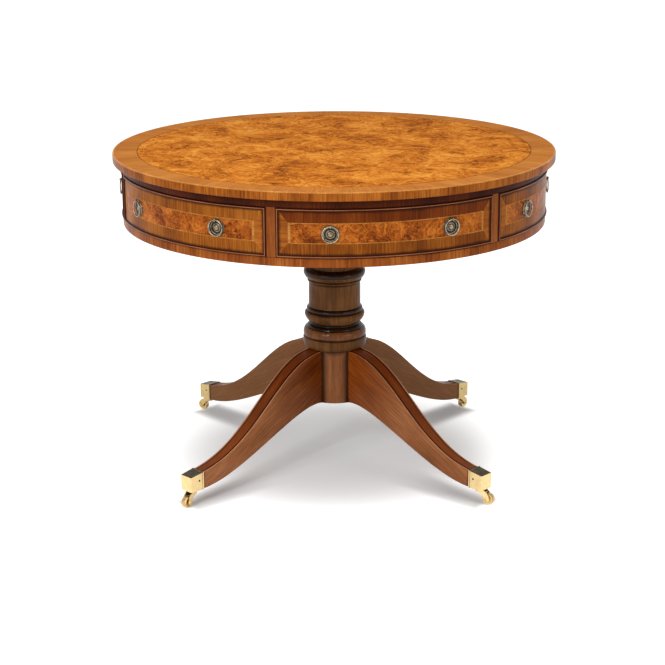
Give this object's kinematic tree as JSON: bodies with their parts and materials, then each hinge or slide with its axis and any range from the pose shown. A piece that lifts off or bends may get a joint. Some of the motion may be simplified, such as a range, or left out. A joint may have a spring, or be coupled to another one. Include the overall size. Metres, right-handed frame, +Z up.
{
  "type": "drum table",
  "caption": "Round drum table with a revolving drawer frieze on a turned column and sabre legs, with ring pulls and brass castors.",
  "frame": {"origin": "on the floor, on the axis of the column", "axes": "+Z up, +X to the right and -Y towards the front; the legs stand on the diagonals"},
  "size_m": [1.0299, 1.03, 0.762],
  "materials": {
    "burr_walnut": "burr veneer, polished, warm gloss",
    "crossband_walnut": "straight-grained crossbanding, polished",
    "frieze_walnut": "cross-grained walnut rails and stiles, polished",
    "cock_bead": "thin rounded bead, reddish brown, polished",
    "pedestal_walnut": "dark turned and carved walnut, polished, worn edges",
    "drawer_lining": "plain quarter-sawn lining wood, waxed",
    "carcase_wood": "plain secondary wood, unpolished",
    "aged_brass": "aged grey-brown brass, soft sheen",
    "polished_brass": "polished pale gold brass",
    "pivot_steel": "plain turned steel, dull"
  },
  "bodies": {
    "base": {"column": "pedestal_walnut", "bearing_block": "pedestal_walnut", "pivot_spindle": "pivot_steel", "spindle_nut_and_washer": "pivot_steel", "toe_caps": "polished_brass", "castor_pins": "polished_brass", "leg_rear_right": "pedestal_walnut", "leg_rear_left": "pedestal_walnut", "leg_front_left": "pedestal_walnut", "leg_front_right": "pedestal_walnut"},
    "drum": {"top_core": "frieze_walnut", "top_burr_veneer": "burr_walnut", "top_crossbanding": "crossband_walnut", "carcase_top_board": "frieze_walnut", "carcase_bottom_board": "frieze_walnut", "carcase_partitions": "carcase_wood", "frieze_stiles": "frieze_walnut", "drawer_stops": "carcase_wood", "dummy_fronts": "burr_walnut", "dummy_cock_beads": "cock_bead", "dummy_handle_plates": "aged_brass"},
    "front_drawer": {"front_drawer_front": "burr_walnut", "front_drawer_cock_bead": "cock_bead", "front_drawer_handle_plates": "aged_brass", "front_drawer_sides": "drawer_lining", "front_drawer_back": "drawer_lining", "front_drawer_bottom": "drawer_lining"},
    "right_drawer": {"right_drawer_front": "burr_walnut", "right_drawer_cock_bead": "cock_bead", "right_drawer_handle_plates": "aged_brass", "right_drawer_sides": "drawer_lining", "right_drawer_back": "drawer_lining", "right_drawer_bottom": "drawer_lining"},
    "left_drawer": {"left_drawer_front": "burr_walnut", "left_drawer_cock_bead": "cock_bead", "left_drawer_handle_plates": "aged_brass", "left_drawer_sides": "drawer_lining", "left_drawer_back": "drawer_lining", "left_drawer_bottom": "drawer_lining"},
    "front_ring_pull_left": {"front_ring_pull_left": "aged_brass"},
    "front_ring_pull_right": {"front_ring_pull_right": "aged_brass"},
    "right_dummy_ring_pull_left": {"right_dummy_ring_pull_left": "aged_brass"},
    "right_dummy_ring_pull_right": {"right_dummy_ring_pull_right": "aged_brass"},
    "right_ring_pull_left": {"right_ring_pull_left": "aged_brass"},
    "right_ring_pull_right": {"right_ring_pull_right": "aged_brass"},
    "rear_dummy_ring_pull_left": {"rear_dummy_ring_pull_left": "aged_brass"},
    "rear_dummy_ring_pull_right": {"rear_dummy_ring_pull_right": "aged_brass"},
    "left_ring_pull_left": {"left_ring_pull_left": "aged_brass"},
    "left_ring_pull_right": {"left_ring_pull_right": "aged_brass"},
    "left_dummy_ring_pull_left": {"left_dummy_ring_pull_left": "aged_brass"},
    "left_dummy_ring_pull_right": {"left_dummy_ring_pull_right": "aged_brass"},
    "castor_horn_rear_right": {"castor_horn_rear_right": "polished_brass"},
    "castor_wheel_rear_right": {"castor_wheel_rear_right": "polished_brass"},
    "castor_horn_rear_left": {"castor_horn_rear_left": "polished_brass"},
    "castor_wheel_rear_left": {"castor_wheel_rear_left": "polished_brass"},
    "castor_horn_front_left": {"castor_horn_front_left": "polished_brass"},
    "castor_wheel_front_left": {"castor_wheel_front_left": "polished_brass"},
    "castor_horn_front_right": {"castor_horn_front_right": "polished_brass"},
    "castor_wheel_front_right": {"castor_wheel_front_right": "polished_brass"}
  },
  "joints": [
    {"name": "drum_turn", "type": "hinge", "parent": "base", "child": "drum", "pos_m": [0, 0, 0.598], "axis": [0, 0, 1], "continuous": true},
    {"name": "front_drawer_slide", "type": "slide", "parent": "drum", "child": "front_drawer", "axis": [0.2278, -0.9737, 0], "range_m": [0, 0.22]},
    {"name": "right_drawer_slide", "type": "slide", "parent": "drum", "child": "right_drawer", "axis": [0.7293, 0.6842, 0], "range_m": [0, 0.22]},
    {"name": "left_drawer_slide", "type": "slide", "parent": "drum", "child": "left_drawer", "axis": [-0.9572, 0.2895, 0], "range_m": [0, 0.22]},
    {"name": "front_ring_pull_left_swing", "type": "hinge", "parent": "front_drawer", "child": "front_ring_pull_left", "pos_m": [-0.0195, -0.50082, 0.68661], "axis": [-0.9992, 0.0389, 0], "range_deg": [-5, 170]},
    {"name": "front_ring_pull_right_swing", "type": "hinge", "parent": "front_drawer", "child": "front_ring_pull_right", "pos_m": [0.23969, -0.44017, 0.68661], "axis": [-0.8782, -0.4782, 0], "range_deg": [-5, 170]},
    {"name": "right_dummy_ring_pull_left_swing", "type": "hinge", "parent": "drum", "child": "right_dummy_ring_pull_left", "pos_m": [0.42397, -0.2673, 0.68661], "axis": [-0.5333, -0.8459, 0], "range_deg": [-5, 170]},
    {"name": "right_dummy_ring_pull_right_swing", "type": "hinge", "parent": "drum", "child": "right_dummy_ring_pull_right", "pos_m": [0.50104, -0.01251, 0.68661], "axis": [-0.025, -0.9997, 0], "range_deg": [-5, 170]},
    {"name": "right_ring_pull_left_swing", "type": "hinge", "parent": "right_drawer", "child": "right_ring_pull_left", "pos_m": [0.44347, 0.23352, 0.68661], "axis": [0.4659, -0.8848, 0], "range_deg": [-5, 170]},
    {"name": "right_ring_pull_right_swing", "type": "hinge", "parent": "right_drawer", "child": "right_ring_pull_right", "pos_m": [0.26135, 0.42766, 0.68661], "axis": [0.8533, -0.5215, 0], "range_deg": [-5, 170]},
    {"name": "rear_dummy_ring_pull_left_swing", "type": "hinge", "parent": "drum", "child": "rear_dummy_ring_pull_left", "pos_m": [0.0195, 0.50082, 0.68661], "axis": [0.9992, -0.0389, 0], "range_deg": [-5, 170]},
    {"name": "rear_dummy_ring_pull_right_swing", "type": "hinge", "parent": "drum", "child": "rear_dummy_ring_pull_right", "pos_m": [-0.23969, 0.44017, 0.68661], "axis": [0.8782, 0.4782, 0], "range_deg": [-5, 170]},
    {"name": "left_ring_pull_left_swing", "type": "hinge", "parent": "left_drawer", "child": "left_ring_pull_left", "pos_m": [-0.42397, 0.2673, 0.68661], "axis": [0.5333, 0.8459, 0], "range_deg": [-5, 170]},
    {"name": "left_ring_pull_right_swing", "type": "hinge", "parent": "left_drawer", "child": "left_ring_pull_right", "pos_m": [-0.50104, 0.01251, 0.68661], "axis": [0.025, 0.9997, 0], "range_deg": [-5, 170]},
    {"name": "left_dummy_ring_pull_left_swing", "type": "hinge", "parent": "drum", "child": "left_dummy_ring_pull_left", "pos_m": [-0.44347, -0.23352, 0.68661], "axis": [-0.4659, 0.8848, 0], "range_deg": [-5, 170]},
    {"name": "left_dummy_ring_pull_right_swing", "type": "hinge", "parent": "drum", "child": "left_dummy_ring_pull_right", "pos_m": [-0.26135, -0.42766, 0.68661], "axis": [-0.8533, 0.5215, 0], "range_deg": [-5, 170]},
    {"name": "castor_swivel_rear_right", "type": "hinge", "parent": "base", "child": "castor_horn_rear_right", "pos_m": [0.33177, 0.32151, 0.029], "axis": [0, 0, 1], "continuous": true},
    {"name": "castor_roll_rear_right", "type": "hinge", "parent": "castor_horn_rear_right", "child": "castor_wheel_rear_right", "pos_m": [0.34647, 0.33789, 0.0135], "axis": [-0.7443, 0.6678, 0], "continuous": true},
    {"name": "castor_swivel_rear_left", "type": "hinge", "parent": "base", "child": "castor_horn_rear_left", "pos_m": [-0.32151, 0.33177, 0.029], "axis": [0, 0, 1], "continuous": true},
    {"name": "castor_roll_rear_left", "type": "hinge", "parent": "castor_horn_rear_left", "child": "castor_wheel_rear_left", "pos_m": [-0.33977, 0.34404, 0.0135], "axis": [-0.5577, -0.83, 0], "continuous": true},
    {"name": "castor_swivel_front_left", "type": "hinge", "parent": "base", "child": "castor_horn_front_left", "pos_m": [-0.33177, -0.32151, 0.029], "axis": [0, 0, 1], "continuous": true},
    {"name": "castor_roll_front_left", "type": "hinge", "parent": "castor_horn_front_left", "child": "castor_wheel_front_left", "pos_m": [-0.34404, -0.33977, 0.0135], "axis": [0.83, -0.5577, 0], "continuous": true},
    {"name": "castor_swivel_front_right", "type": "hinge", "parent": "base", "child": "castor_horn_front_right", "pos_m": [0.32151, -0.33177, 0.029], "axis": [0, 0, 1], "continuous": true},
    {"name": "castor_roll_front_right", "type": "hinge", "parent": "castor_horn_front_right", "child": "castor_wheel_front_right", "pos_m": [0.34096, -0.34207, 0.0135], "axis": [0.4679, 0.8838, 0], "continuous": true}
  ]
}
